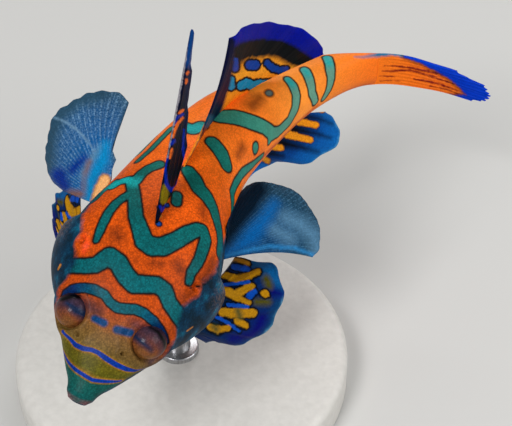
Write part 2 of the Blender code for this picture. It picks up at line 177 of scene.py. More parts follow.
def plain_point(s, angle, grow=0.0):
    """Points on the body's plain sections, and the directions out from the axis there."""
    centre, _, left, up = frame_at(s)
    a = np.radians(angle)
    wide = along(HALF_WIDTH, s) + grow
    tall = np.where(np.cos(a) > 0, along(RISE, s), along(DROP, s)) + grow
    x = np.sign(np.sin(a)) * np.abs(np.sin(a)) ** SQUARENESS
    z = np.sign(np.cos(a)) * np.abs(np.cos(a)) ** SQUARENESS
    out = left * np.sin(a)[..., None] + up * np.cos(a)[..., None]
    return centre + left * (wide * x)[..., None] + up * (tall * z)[..., None], out


eye_centres = {}
for side in (1, -1):
    centre, _, left, up = frame_at(EYE_AT)
    eye_centres[side] = centre + left * (side * EYE_OUT) + up * EYE_UP


def swelling(s, angle, plain):
    """How far the skin stands out from the plain sections."""
    around = np.abs(angle)
    total = np.zeros(plain.shape[:-1])
    for height, place, spread, middle, spread_round in SWELLINGS.values():
        total = total + height * bump(s, place, spread) * bump(around, middle, spread_round)
    share = np.clip((s - FLAP_START) / (FLAP_EDGE - FLAP_START), 0, 1)
    fall = np.clip((FLAP_END - s) / (FLAP_END - FLAP_EDGE), 0, 1)
    fall = fall * fall * (3 - 2 * fall)
    total = total + FLAP_HEIGHT * share * (2 - share) * fall * bump(around, FLAP_ANGLE, FLAP_SPREAD)
    for eye in eye_centres.values():
        out = np.linalg.norm(plain - eye, axis=-1)
        for ring in (EYE_RIM, EYE_FOLD):
            total = total + ring["height"] * bump(out, ring["out"], ring["spread"])
    for pore in (NOSTRIL, GILL_PORE):
        for side in (1, -1):
            spot, _ = plain_point(np.array(pore["at"]), np.array(side * pore["angle"]))
            out = np.linalg.norm(plain - spot, axis=-1)
            rim = pore["height"] * bump(out, pore["rim"], pore["spread"])
            hole = pore["hole"] * bump(out, 0, pore["rim"] - pore["spread"] / 2)
            total = total + rim - hole
    return total


def body_point(s, angle, grow=0.0):
    """Points of the body's surface."""
    plain, out = plain_point(s, angle, grow)
    return plain + out * swelling(s, angle, plain)[..., None]


snout_rows = np.linspace(LIPS, SNOUT_END, SNOUT_RINGS, endpoint=False)
head_rows = np.linspace(SNOUT_END, HEAD_END, HEAD_RINGS, endpoint=False)
body_rows = np.linspace(HEAD_END, SKIN_END, BODY_RINGS)
ring_at = np.concatenate((np.full(CAP_RINGS, LIPS), snout_rows, head_rows, body_rows,
                          np.full(CAP_RINGS, SKIN_END)))
# Each end is rounded off by rings that shrink to a point while they move outwards.
turn = np.linspace(0, 1, CAP_RINGS, endpoint=False)
middle_rings = len(ring_at) - 2 * CAP_RINGS
ring_size = np.concatenate((np.sin(turn * np.pi / 2), np.ones(middle_rings),
                            np.sin(turn * np.pi / 2)[::-1]))
cap_reach = np.cos(turn * np.pi / 2)
ring_shift = np.concatenate((-SNOUT_CAP * cap_reach, np.zeros(middle_rings),
                             TAIL_CAP * cap_reach[::-1]))
column_angle = 360 * np.arange(SKIN_SIDES) / SKIN_SIDES - 180
skin_s, skin_angle = np.meshgrid(ring_at, column_angle, indexing="ij")
centre, back, left, up = frame_at(ring_at)
skin_points = body_point(skin_s, skin_angle)
middle = centre[:, None]
skin_points = middle + (skin_points - middle) * ring_size[:, None, None]
skin_points = skin_points + back[:, None] * ring_shift[:, None, None]
# The mouth is a groove that bends down at its corners, pressed back into the front of the snout.
start, back0, left0, up0 = frame_at(np.array(LIPS))
beside = (skin_points - start) @ left0
above = (skin_points - start) @ up0
line = MOUTH["level"] - MOUTH["droop"] * beside**2
ahead = (skin_points - start) @ back0
corner = bump(beside, 0, MOUTH["half_width"]) * (ahead < MOUTH["reach"])
groove = MOUTH["depth"] * bump(above, line, MOUTH["gape"]) * corner
skin_points = skin_points + back0 * groove[..., None]


# A stroke's point is lifted to the grid point nearest to the camera among those close to its pixel,
# where each pixel away from it counts as so many millimetres of depth.
CLOSE_PIXELS, SPARE_PIXELS, DEPTH_PER_PIXEL = 1.5, 0.3, 0.3


def lift(points, strokes):
    """Find the visible grid point under each (x, y, width) of some strokes, widths in pixels."""
    flat = points.reshape(-1, 3)
    pixels, depth = pixels_of(flat)
    lifted = []
    for stroke in strokes:
        found = []
        for x, y, width in stroke:
            off = np.hypot(pixels[:, 0] - x, pixels[:, 1] - y)
            near = np.flatnonzero(off < max(CLOSE_PIXELS, off.min() + SPARE_PIXELS))
            index = near[np.argmin(depth[near] + off[near] * DEPTH_PER_PIXEL)]
            found.append((index, width / 2 * depth[index] / focal_pixels))
        lifted.append(found)
    return lifted


TINY = 1e-9


def off_lines(points, lines):
    """Distance of points from the edges of lines of (place, half width), below zero inside them."""
    least = np.inf
    for line in lines:
        ends = line if len(line) > 1 else line * 2
        for (a, wide_a), (b, wide_b) in zip(ends, ends[1:]):
            run = b - a
            t = np.clip((points - a) @ run / max(run @ run, TINY), 0, 1)
            off = np.linalg.norm(points - a - t[:, None] * run, axis=1)
            least = np.minimum(least, off - wide_a - t * (wide_b - wide_a))
    return least


def paint(points, lifted):
    """Distance in millimetres of each grid point from the edges of lifted strokes."""
    flat = points.reshape(-1, 3)
    lines = [[(flat[index], wide) for index, wide in stroke] for stroke in lifted]
    return off_lines(flat, lines).reshape(points.shape[:-1])


def mirrored(lifted):
    """The same strokes on the other side of the body."""
    other = []
    for stroke in lifted:
        flipped = []
        for index, wide in stroke:
            row, column = divmod(index, SKIN_SIDES)
            flipped.append((row * SKIN_SIDES + (SKIN_SIDES - column) % SKIN_SIDES, wide))
        other.append(flipped)
    return other


# Strokes read from the photo, each point as x, y and width in pixels: first the teal bands.
HEAD_BAND = (
    (56, 258, 14), (64, 264, 13), (72, 266, 12), (85, 266, 13), (96, 265, 14), (104, 259, 16),
    (110, 257, 17), (118, 263, 16), (126, 276, 16), (133, 283, 16), (146, 284, 15), (157, 285, 14),
    (166, 291, 14), (170, 303, 13), (178, 315, 14), (184, 322, 16),
)
NAPE_BANDS = (
    ((130, 193, 8), (124, 197, 8), (117, 202, 8), (109, 211, 8), (104, 221, 8), (100, 231, 7),
     (97, 240, 4)),
    ((113, 185, 10), (119, 181, 10), (127, 179, 10), (135, 182, 10), (141, 173, 10), (149, 168, 10),
     (159, 164, 10)),
    ((131, 181, 10), (134, 193, 10), (134, 205, 11), (136, 217, 12), (140, 229, 14), (144, 241, 16),
     (152, 247, 17), (163, 246, 17), (177, 240, 15), (189, 233, 14), (198, 229, 12), (204, 231, 12),
     (206, 239, 12), (204, 248, 12), (198, 261, 10), (192, 273, 8), (189, 282, 5)),
    ((138, 160, 5), (151, 149, 5), (166, 133, 5), (171, 127, 5)),
    ((184, 126, 12), (192, 130, 13), (201, 126, 12)),
    ((176, 195, 8), (176, 202, 8)),
)
FLANK_BANDS = (
    ((189, 171, 12), (194, 178, 15), (200, 188, 15), (207, 197, 14), (214, 208, 12), (218, 221, 11),
     (221, 233, 11), (222, 244, 12), (220, 252, 14)),
    ((263, 157, 4), (254, 165, 6), (244, 173, 8), (236, 183, 8), (233, 193, 8), (234, 203, 8),
     (233, 214, 8), (231, 224, 8)),
    ((214, 142, 14), (221, 153, 16), (227, 165, 14)),
    ((256, 148, 9), (256, 149, 9)),
    ((218, 116, 15), (234, 117, 17), (251, 121, 15), (264, 127, 12), (273, 134, 12), (280, 132, 10),
     (290, 122, 10), (295, 109, 10), (296, 96, 9), (293, 86, 9), (288, 80, 7)),
    ((270, 133, 8), (270, 142, 4)),
    ((306, 70, 9), (310, 81, 9), (312, 93, 8), (315, 102, 6)),
    ((327, 58, 8), (331, 70, 9), (331, 80, 7), (329, 90, 6), (324, 99, 4)),
)
# The side of the head below this angle from the back is dark, up to the foot of the pectoral fin.
CHEEK_EDGE = ((3, 88), (6, 86), (7.3, 82), (7.9, 74), (8.4, 68), (9.2, 60), (9.8, 55), (10.8, 48.5),
              (11.6, 50), (12.4, 54), (13.2, 51), (14.2, 54), (15.5, 60), (19, 66), (22, 84),
              (27, 122), (33, 180))
CHEEK_RADIUS = 6.0
# Smoky and bright touches, dark rust blotches partly painted as shade, small spots, slits painted as
# shadow, then the lines across the face.
SKIN_MARKS = {
    "haze": (
        ((64, 300, 3), (76, 302, 5), (88, 306, 4), (98, 311, 2)),
        ((134, 324, 2), (144, 328, 4), (153, 338, 6), (158, 350, 6), (152, 362, 4)),
    ),
    "bright": (
        ((112, 185, 10), (122, 180, 10), (136, 181, 8)), ((184, 127, 12), (200, 128, 12)),
        ((325, 55, 6), (328, 63, 4)), ((288, 79, 3), (291, 84, 3)), ((305, 69, 2), (307, 74, 2)),
    ),
    "stalk": (((354, 57, 0.3), (364, 57, 1.5), (376, 55, 4), (392, 53, 5)),),
    # Dark rust blotches by the gill pores and the spots, partly painted shade.
    "rust_and_shade": (
        ((115, 233, 8), (118, 238, 6)), ((178, 264, 6), (182, 271, 5)), ((260, 98, 5), (252, 106, 5)),
        ((243, 146, 5), (238, 156, 5)), ((160, 264, 3), (154, 262, 3)), ((206, 200, 2), (203, 214, 3)),
        ((213, 262, 6), (209, 272, 9), (203, 281, 8)), ((183, 299, 4), (191, 294, 5)),
    ),
    "blotch": (((84, 252, 6), (86, 243, 9), (84, 236, 5)),),
    "dashes": (((94, 318, 6), (104, 323, 7)), ((117, 330, 7), (131, 333, 7))),
    "ochre": (((60, 265, 4), (58, 269, 3)), ((193, 327.5, 1.8), (188, 331, 2)), ((160, 216, 6),)),
    "blue": (((158, 223, 5),), ((159, 207, 4), (163, 211, 4), (167, 206, 4))),
    "speck": (((268.5, 93.5, 7), (269.5, 92.5, 7)),),
    "ruddy": (((264, 158, 3), (277, 145, 4), (291, 132, 4), (304, 119, 4), (318, 107, 3)),),
    # Black slits painted as shadow: in the gap between each eye and the brow, and in the gill opening.
    "shadow_slits": (
        ((68, 294, 1.5), (77, 296, 3), (87, 295, 1.5)),
        ((154, 331, 1.5), (160, 338, 3), (164, 344, 1.5)),
        ((190, 287.5, 1.5), (197, 286.5, 4), (206, 284, 1.5)),
    ),
}
BROW = (
    (63, 298, 5), (65, 293, 6), (72, 289, 8), (83, 288, 9.5), (94, 290, 9.5), (105, 295, 8),
    (110, 302, 8), (118, 308, 9), (127, 309, 9.5), (135, 309, 9), (144, 313, 9), (152, 320, 9),
    (159, 328, 8), (165, 336, 6), (166, 342, 5),
)
SNOUT_LINES = (
    ((62, 331, 4), (68, 337, 4.5), (75, 345, 5), (83, 349, 5), (92, 350, 4.5), (98, 353, 4.5),
     (105, 358, 5.5), (116, 365, 5.5), (127, 369, 5), (137, 371, 4), (144, 370, 2)),
    ((61, 352, 3), (67, 360, 3.5), (75, 369, 4), (83, 375, 4), (92, 380, 4), (101, 381, 4),
     (111, 382, 3.5), (122, 381, 2.5)),
)

# Beyond this angle from the back the photo hides the flank, and the seen one's bands are mirrored.
HIDDEN_FROM, HIDDEN_FADE = -55, 10
seen_flank = lift(skin_points, FLANK_BANDS)
bands = paint(skin_points, lift(skin_points, (HEAD_BAND,) + NAPE_BANDS) + seen_flank)
hidden_bands = paint(skin_points, mirrored(seen_flank))
bands = np.minimum(bands, hidden_bands + np.clip((skin_angle - HIDDEN_FROM) / HIDDEN_FADE, 0, None))
brow_lift = lift(skin_points, (BROW,))
line_lift = lift(skin_points, SNOUT_LINES)
marks = {"bands": bands, "brow": paint(skin_points, brow_lift),
         "lines": paint(skin_points, line_lift), "place": skin_s, "around": np.abs(skin_angle),
         "cheek": np.radians(along(CHEEK_EDGE, skin_s) - np.abs(skin_angle)) * CHEEK_RADIUS}
for mark, strokes in SKIN_MARKS.items():
    marks[mark] = paint(skin_points, lift(skin_points, strokes))


def crossing(stroke):
    """How far back a lifted line crosses the skin, for every column of the skin."""
    index = np.array([i for i, _ in stroke])
    rows, columns = np.divmod(index, SKIN_SIDES)
    order = np.argsort(column_angle[columns])
    return np.interp(column_angle, column_angle[columns][order], ring_at[rows][order])


# The face is zoned from the snout tip: 1 at the second line, 2 at the first, 3 at the brow, and 4
# where its colours have faded into the body's.
FACE_FADE = 4
first_line, second_line, brow_line = (crossing(stroke) for stroke in line_lift + brow_lift)
marks["face"] = np.empty(skin_points.shape[:-1])
for k in range(SKIN_SIDES):
    borders = (0, second_line[k], first_line[k], brow_line[k], brow_line[k] + FACE_FADE)
    marks["face"][:, k] = np.interp(ring_at, borders, (0, 1, 2, 3, 4))


def new_piece(name, shape, marks, replaced):
    """Finish a closed bmesh in millimetres as a piece on the part; marks are point values."""
    shape.normal_update()
    bmesh.ops.recalc_face_normals(shape, faces=shape.faces)
    if shape.calc_volume(signed=True) < 0:
        bmesh.ops.reverse_faces(shape, faces=shape.faces)
    bmesh.ops.scale(shape, vec=(MM, MM, MM), verts=shape.verts)
    mesh = bpy.data.meshes.new(name)
    shape.to_mesh(mesh)
    shape.free()
    mesh.shade_smooth()
    for mark, values in marks.items():
        mesh.attributes.new(mark, "FLOAT", "POINT").data.foreach_set("value", values)
    piece = bpy.data.objects.new(name, mesh)
    bpy.context.scene.collection.objects.link(piece)
    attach(piece, "root")
    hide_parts(*replaced)
    return piece


def colour(code):
    """A linear colour from an sRGB hex value."""
    parts = [int(code[i:i + 2], 16) / 255 for i in (1, 3, 5)]
    return (*[c / 12.92 if c <= 0.04045 else ((c + 0.055) / 1.055) ** 2.4 for c in parts], 1)


def add(tree, kind, inputs=None, output=0, stops=None, **settings):
    """Add a node with its settings, values, links and ramp stops, and give back one output."""
    made = tree.nodes.new("ShaderNode" + kind)
    for name, value in settings.items():
        setattr(made, name, value)
    for name, value in (inputs or {}).items():
        if isinstance(value, bpy.types.NodeSocket):
            tree.links.new(value, made.inputs[name])
        else:
            made.inputs[name].default_value = value
    if stops:
        elements = made.color_ramp.elements
        while len(elements) < len(stops):
            elements.new(1)
        for element, (place, tint) in zip(elements, stops):
            element.position = place
            element.color = colour(tint)
    return made.outputs[output]


MIX_A, MIX_B, MIX_RESULT = 6, 7, 2


def lay(tree, under, distance, over, edge=0.0, soft=0.06):
    """Lay a colour over another where a distance is under an edge; hex values are turned linear."""
    under, over = (colour(tint) if isinstance(tint, str) else tint for tint in (under, over))
    mask = add(tree, "MapRange", {"Value": distance, "From Min": edge - soft, "From Max": edge + soft,
                                  "To Min": 1.0, "To Max": 0.0})
    return add(tree, "Mix", {0: mask, MIX_A: under, MIX_B: over}, MIX_RESULT, data_type="RGBA")


def new_material(name, roughness, coat, coat_roughness=0.08, specular=0.5):
    """A material, its node tree and its shader."""
    made = bpy.data.materials.new(name)
    made.use_nodes = True
    shader = made.node_tree.nodes["Principled BSDF"]
    shader.inputs["Roughness"].default_value = roughness
    shader.inputs["Specular IOR Level"].default_value = specular
    shader.inputs["Coat Weight"].default_value = coat
    shader.inputs["Coat Roughness"].default_value = coat_roughness
    return made, made.node_tree, shader


# The pigment cells of the skin are drawn about three times as coarse as in life, as the photo's own
# grain draws them; at their true size they would be finer than a pixel.
GRAIN = 0.15


def finish_paint(tree, shader, base, strength=0.5, relief=0.03):
    """Link a colour to the shader under a grain of pigment spots, with a slight relief."""
    spot = add(tree, "TexCoord", output="Object")
    grain = add(tree, "TexVoronoi", {"Vector": spot, "Scale": 1 / (GRAIN * MM)}, "Distance")
    spots = add(tree, "MapRange", {"Value": grain, "From Min": 0.1, "From Max": 0.75,
                                   "To Min": 1.14, "To Max": 0.8})
    speckle = add(tree, "MapRange", {"Value": grain.node.outputs["Color"], "From Min": 0.25,
                                     "From Max": 0.75, "To Min": 0.78, "To Max": 1.2})
    full = add(tree, "Math", {0: spots, 1: speckle}, operation="MULTIPLY")
    change = add(tree, "Math", {0: full, 1: 1.0}, operation="SUBTRACT")
    tone = add(tree, "Math", {0: change, 1: strength, 2: 1.0}, operation="MULTIPLY_ADD")
    tinted = add(tree, "VectorMath", {0: base, "Scale": tone}, operation="SCALE")
    tree.links.new(tinted, shader.inputs["Base Color"])
    raised = add(tree, "Bump", {"Strength": 0.25, "Distance": relief * MM, "Height": grain})
    tree.links.new(raised, shader.inputs["Normal"])


shape = bmesh.new()
bmesh.ops.create_uvsphere(shape, u_segments=SKIN_SIDES, v_segments=len(ring_at) - 1, radius=1)
skin_grid = []
for v in shape.verts:
    ring = round(np.arccos(np.clip(v.co.z, -1, 1)) / np.pi * (len(ring_at) - 1))
    column = round((np.arctan2(v.co.y, v.co.x) / (2 * np.pi) + 0.5) * SKIN_SIDES) % SKIN_SIDES
    skin_grid.append((ring, column))
    v.co = skin_points[ring, column]
skin_rows, skin_columns = np.array(skin_grid).T
skin = new_piece("fish_skin", shape, {k: m[skin_rows, skin_columns] for k, m in marks.items()},
                 ("head", "torso", "tail_base"))

# Painted skin: a satin body colour with a fine grain of pigment spots, sealed under a moist coat
# that gives the eye a soft sheen and no mirror images of the lamps. These are the widths of its
# paler clouds, of the fraying of its marks, and of the dapples and streaks of its cheeks.
CLOUD, FRAY, DAPPLE, STREAK = 2.857, 0.3846, 0.1923, 1.4286
material, tree, shader = new_material("moist_skin", roughness=0.5, coat=0.06, coat_roughness=0.35,
                                      specular=0.04)
spot = add(tree, "TexCoord", output="Object")
place, around, zone = (add(tree, "Attribute", output="Fac", attribute_name=mark)
                       for mark in ("place", "around", "face"))
length = add(tree, "MapRange", {"Value": place, "From Min": 0.0, "From Max": 53.0})
body = add(tree, "ValToRGB", {"Fac": length}, stops=(
    (0.0, "#b03e06"), (0.17, "#b4440a"), (0.28, "#ce4e08"), (0.38, "#da560a"), (0.46, "#f26a12"),
    (0.53, "#ff7a1e"), (0.62, "#fa741a"), (0.70, "#fc8626"), (0.80, "#ff9634"), (1.0, "#f4741c")))
zones = add(tree, "MapRange", {"Value": zone, "From Min": 0.0, "From Max": 4.0})
face = add(tree, "ValToRGB", {"Fac": zones}, stops=(
    (0.0, "#90444e"), (0.045, "#84444c"), (0.09, "#0c4c4a"), (0.235, "#0f5048"), (0.265, "#80601c"),
    (0.32, "#565210"), (0.44, "#625812"), (0.485, "#86641e"), (0.53, "#6c5428"), (0.60, "#725028"),
    (0.67, "#90481c"), (0.72, "#a84618"), (0.80, "#b0420a")))
base = lay(tree, body, zone, face, edge=3.55, soft=0.45)
base = lay(tree, "#d8662a", around, base, edge=130.0, soft=20.0)
teal = add(tree, "ValToRGB", {"Fac": length}, stops=(
    (0.0, "#054a58"), (0.2, "#055a60"), (0.30, "#065c5c"), (0.40, "#086058"), (0.5, "#147468"),
    (0.66, "#3c8a76"), (0.80, "#629480"), (1.0, "#629480")))
fray = add(tree, "TexNoise", {"Vector": spot, "Scale": 1 / (FRAY * MM), "Detail": 2.0})


def frayed(mark, reach):
    """A painted distance roughened by fine noise."""
    distance = add(tree, "Attribute", output="Fac", attribute_name=mark)
    return add(tree, "Math", {0: fray, 1: reach, 2: distance}, operation="MULTIPLY_ADD")


teal = lay(tree, teal, frayed("bright", 0.09), "#12a4a4", edge=0.3, soft=0.5)
# The cheeks are streaked with dark blue, and the free edge of each gill cover is dappled with grey.
streaks = add(tree, "TexNoise", {"Vector": spot, "Scale": 1 / (STREAK * MM), "Detail": 4.0})
cheek = add(tree, "ValToRGB", {"Fac": streaks}, stops=(
    (0.35, "#03202f"), (0.52, "#05304a"), (0.68, "#0a5670")))
dapple = add(tree, "TexNoise", {"Vector": spot, "Scale": 1 / (DAPPLE * MM), "Detail": 3.0})
share = add(tree, "MapRange", {"Value": dapple, "From Min": 0.42, "From Max": 0.6})
for value, none, full in ((place, 12.4, 15.0), (place, 16.6, 15.9), (around, 66.0, 80.0)):
    limit = add(tree, "MapRange", {"Value": value, "From Min": none, "From Max": full})
    share = add(tree, "Math", {0: share, 1: limit}, operation="MULTIPLY")
cheek = add(tree, "Mix", {0: share, MIX_A: cheek, MIX_B: colour("#705a56")}, MIX_RESULT,
            data_type="RGBA")
brow = lay(tree, "#05285a", around, "#085a66", edge=28.0, soft=14.0)
# From the lowest coat to the topmost: mark, colour, edge, softness and how far noise frays it.
COATS = (
    # The dark rust coat is partly painted shade.
    ("rust_and_shade", "#5a220a", 0.25, 0.7, 0.4), ("ruddy", "#b4340c", 0.25, 0.45, 0.4),
    ("haze", "#38283a", 0.45, 0.7, 0.5), ("blotch", "#e8481a", 0.1, 0.3, 0.3),
    ("bands", "#120a08", 0.3, 0.09, 0.09), ("bands", teal, 0.1, 0.07, 0.09),
    ("cheek", cheek, 0.2, 0.35, 0.5), ("brow", "#140c0a", 0.14, 0.06, 0.0),
    ("brow", brow, 0.0, 0.06, 0.0), ("dashes", "#0b3a68", 0.05, 0.12, 0.0),
    ("lines", "#8c6418", 0.13, 0.06, 0.0), ("lines", "#02318e", 0.0, 0.04, 0.0),
    ("stalk", "#2a6c94", 0.0, 0.2, 0.0), ("ochre", "#c07a30", 0.0, 0.06, 0.0),
    ("blue", "#10101c", 0.14, 0.06, 0.0), ("blue", "#0e3c8c", 0.0, 0.06, 0.0),
    # The black slits are painted shadow.
    ("shadow_slits", "#050508", 0.0, 0.08, 0.0), ("speck", "#2a1408", 0.15, 0.15, 0.0),
    ("speck", "#5a6864", -0.05, 0.12, 0.0),
)
for mark, tint, edge, soft, reach in COATS:
    base = lay(tree, base, frayed(mark, reach), tint, edge, soft)
# The clouds fade out on the tail stalk, and the grain weakens from the middle of the body back.
clouds = add(tree, "TexNoise", {"Vector": spot, "Scale": 1 / (CLOUD * MM), "Detail": 3.0})
shade = add(tree, "MapRange", {"Value": clouds, "From Min": 0.3, "From Max": 0.7,
                               "To Min": -0.2, "To Max": 0.16})
fade = add(tree, "MapRange", {"Value": place, "From Min": 42.0, "From Max": 50.0,
                              "To Min": 1.0, "To Max": 0.0})
cloudy = add(tree, "Math", {0: shade, 1: fade, 2: 1.0}, operation="MULTIPLY_ADD")
clouded = add(tree, "VectorMath", {0: base, "Scale": cloudy}, operation="SCALE")
coarse = add(tree, "MapRange", {"Value": place, "From Min": 18.0, "From Max": 38.0,
                                "To Min": 1.0, "To Max": 0.3})
finish_paint(tree, shader, clouded, coarse, relief=0.04)
skin.data.materials.append(material)

# Eyes. Each is a wet ball that stands out of the side of the head, gazing outwards. Its iris carries
# on the colours of the face, hazy purple behind and rusty in front, with a blue streak across.
GAZE_UP, GAZE_FORWARD = -15, -14
CORNEA_BULGE, CORNEA_SPREAD = 0.14, 40
EYE_SEGMENTS, EYE_RINGS = 96, 64
IRIS_HAZE = 0.6667
EYE_MARKS = {
    # The black slit is painted shadow in the gap between the top of each eye and the brow.
    "shadow_slit": (
        ((62, 299, 4), (72, 296, 4), (84, 297, 3), (93, 302, 1)),
        ((150, 327, 1), (158, 332, 2.5), (164, 341, 3), (167, 350, 3)),
    ),
    "streak": (
        ((67, 303, 6), (76, 310, 10), (86, 315, 9), (93, 318, 6)),
        ((132, 334, 6), (142, 342, 7), (151, 350, 4)),
    ),
}


def seen(grid, strokes):
    """Distance in millimetres, as the camera sees it, of points from the edges of strokes."""
    pixels, depth = pixels_of(grid.reshape(-1, 3))
    lines = [[(np.array((x, y)), width / 2) for x, y, width in stroke] for stroke in strokes]
    return (off_lines(pixels, lines) * depth / focal_pixels).reshape(grid.shape[:-1])


# Wet eye: a clear coat over the hazy iris gives it small sharp glints.
material, tree, shader = new_material("wet_eye", roughness=0.4, coat=0.12, coat_roughness=0.04,
                                      specular=0.06)
spot = add(tree, "TexCoord", output="Object")
forward, streak, shadow_slit, off = (add(tree, "Attribute", output="Fac", attribute_name=mark)
                              for mark in ("forward", "streak", "shadow_slit", "off_gaze"))
haze = add(tree, "TexNoise", {"Vector": spot, "Scale": 1 / (IRIS_HAZE * MM), "Detail": 3.0})
shifted = add(tree, "Math", {0: haze, 1: 0.7, 2: forward}, operation="MULTIPLY_ADD")
share = add(tree, "MapRange", {"Value": shifted, "From Min": -0.65, "From Max": 1.35})
base = add(tree, "ValToRGB", {"Fac": share}, stops=(
    (0.0, "#241c2c"), (0.35, "#3a2a38"), (0.6, "#543032"), (0.8, "#743e22"), (1.0, "#744a20")))
# The black slit laid here is painted shadow under the brow.
for distance, tint, edge, soft in ((streak, "#14233f", 0.0, 0.25), (shadow_slit, "#040406", 0.05, 0.12),
                                   (off, "#7c4418", 29.0, 1.5), (off, "#030408", 26.0, 1.5)):
    base = lay(tree, base, distance, tint, edge, soft)
finish_paint(tree, shader, base, strength=1.0, relief=0.0)
for side, word in ((1, "left"), (-1, "right")):
    _, back, left, up = frame_at(EYE_AT)
    level = left * (side * cos(radians(GAZE_FORWARD))) - back * sin(radians(GAZE_FORWARD))
    gaze = Vector(level * cos(radians(GAZE_UP)) + up * sin(radians(GAZE_UP)))
    shape = bmesh.new()
    bmesh.ops.create_uvsphere(shape, u_segments=EYE_SEGMENTS, v_segments=EYE_RINGS, radius=1)
    off_gaze = np.array([np.degrees(np.arccos(np.clip(v.co.z, -1, 1))) for v in shape.verts])
    for v, angle in zip(shape.verts, off_gaze):
        v.co = v.co * (EYE_RADIUS + CORNEA_BULGE * bump(angle, 0, CORNEA_SPREAD))
    turn_to_gaze = gaze.to_track_quat("Z", "Y").to_matrix().to_4x4()
    shape.transform(Matrix.Translation(Vector(eye_centres[side])) @ turn_to_gaze)
    points = np.array([v.co[:] for v in shape.verts])
    marks = {mark: seen(points, strokes) for mark, strokes in EYE_MARKS.items()}
    marks.update(off_gaze=off_gaze, forward=(points - eye_centres[side]) @ -back / EYE_RADIUS)
    eye = new_piece("fish_eye_" + word, shape, marks, ("eye_" + word,))
    eye.data.materials.append(material)

# First dorsal fin. Four thin spines hold a narrow sail of skin, and the front one is drawn out into
# a long filament. The skin is blue-black with orange streaks and a deep blue loop, with a painted
# highlight along its front edge.
ROOT_GAP = 0.3
SINK = 0.6
FIN_ROWS = 120
TAPER_FROM = 0.85
SIDE_TAPER = 0.02
THIN_EDGE = 0.35
CORNER_SPREAD = 0.035
RAY_SHARPNESS, BRANCH_SHARPNESS = 1.6, 2
BRANCH_FROM, BRANCH_RUN, BRANCH_HEIGHT = 0.45, 0.2, 0.7
RIDGES_FROM = (0, 0.05)
# A root runs from place to place along the body, at an angle from the back. Tips and bow are reaches
# back, outwards and up. Membrane and ray are thicknesses, and the ruffle is a height and its waves.
FIRST_DORSAL = {
    "at": ((0, 15.8), (1, 20.5)), "angle": ((0, 0), (1, 0)), "side": 1, "rays": 4,
    "tips": ((5.3, -2.4, 19.1), (4.2, -1.7, 13.2), (2.4, -0.9, 8.1), (0.8, 0, 3.9)),
    "bow": ((0, 0, 0), (0, 0, 0)), "scallop": 0.05,
    "columns": 120, "membrane": 0.2, "ray": 0.42, "fine_rays": 4, "ruffle": (0.05, 3),
    "least": 0.9,
}


def curve_through(points, share):
    """Points at shares of the way along a smooth curve through points."""
    places = np.linspace(0, 1, len(points))
    tables = [np.stack((places, [p[i] for p in points]), 1) for i in range(3)]
    return np.stack([along(table, share) for table in tables], -1)


def between_rays(u, rays):
    """0 on a ray and 1 half way between two."""
    phase = u * (rays - 1)
    return 2 * np.abs(phase - np.round(phase))


def fin_surface(fin, u, v):
    """Points of a fin's middle surface: u runs across its rays, v from in the body to the margin."""
    s, side = along(fin["at"], u), fin["side"]
    root = body_point(s, side * along(fin["angle"], u), ROOT_GAP)
    _, back, left, up = frame_at(s)
    axes = np.stack((back, left * side, up), -2)
    first, last = fin.get("rounded", (0, 0))
    corners = 1 - first * bump(u, 0, CORNER_SPREAD) - last * bump(u, 1, CORNER_SPREAD)
    notch = (1 - fin["scallop"] * between_rays(u, fin["rays"])) * corners
    reach = np.einsum("...i,...ij->...j", curve_through(fin["tips"], u) * notch[..., None], axes)
    bow = np.einsum("...i,...ij->...j", curve_through(fin["bow"], u), axes)
    start = root - unit(reach) * SINK
    v = v[..., None]
    return start + (root + reach - start) * v + bow * (4 * v * (1 - v))


SMALL = 1e-3


def fin_grid(fin, surface=None):
    """Points of a fin's middle surface and the directions across it; folded rays stop short."""
    surface = surface or (lambda u, v: fin_surface(fin, u, v))
    u, v = np.meshgrid(np.linspace(0, 1, fin["columns"]), np.linspace(0, 1, FIN_ROWS), indexing="ij")
    folded, short = fin.get("fold", (0, 1))
    v = np.where(u < folded, v * short, v)
    across = surface(np.minimum(u + SMALL, 1), v) - surface(np.maximum(u - SMALL, 0), v)
    length = surface(u, np.minimum(v + SMALL, 1)) - surface(u, np.maximum(v - SMALL, 0))
    return surface(u, v), unit(np.cross(across, length))


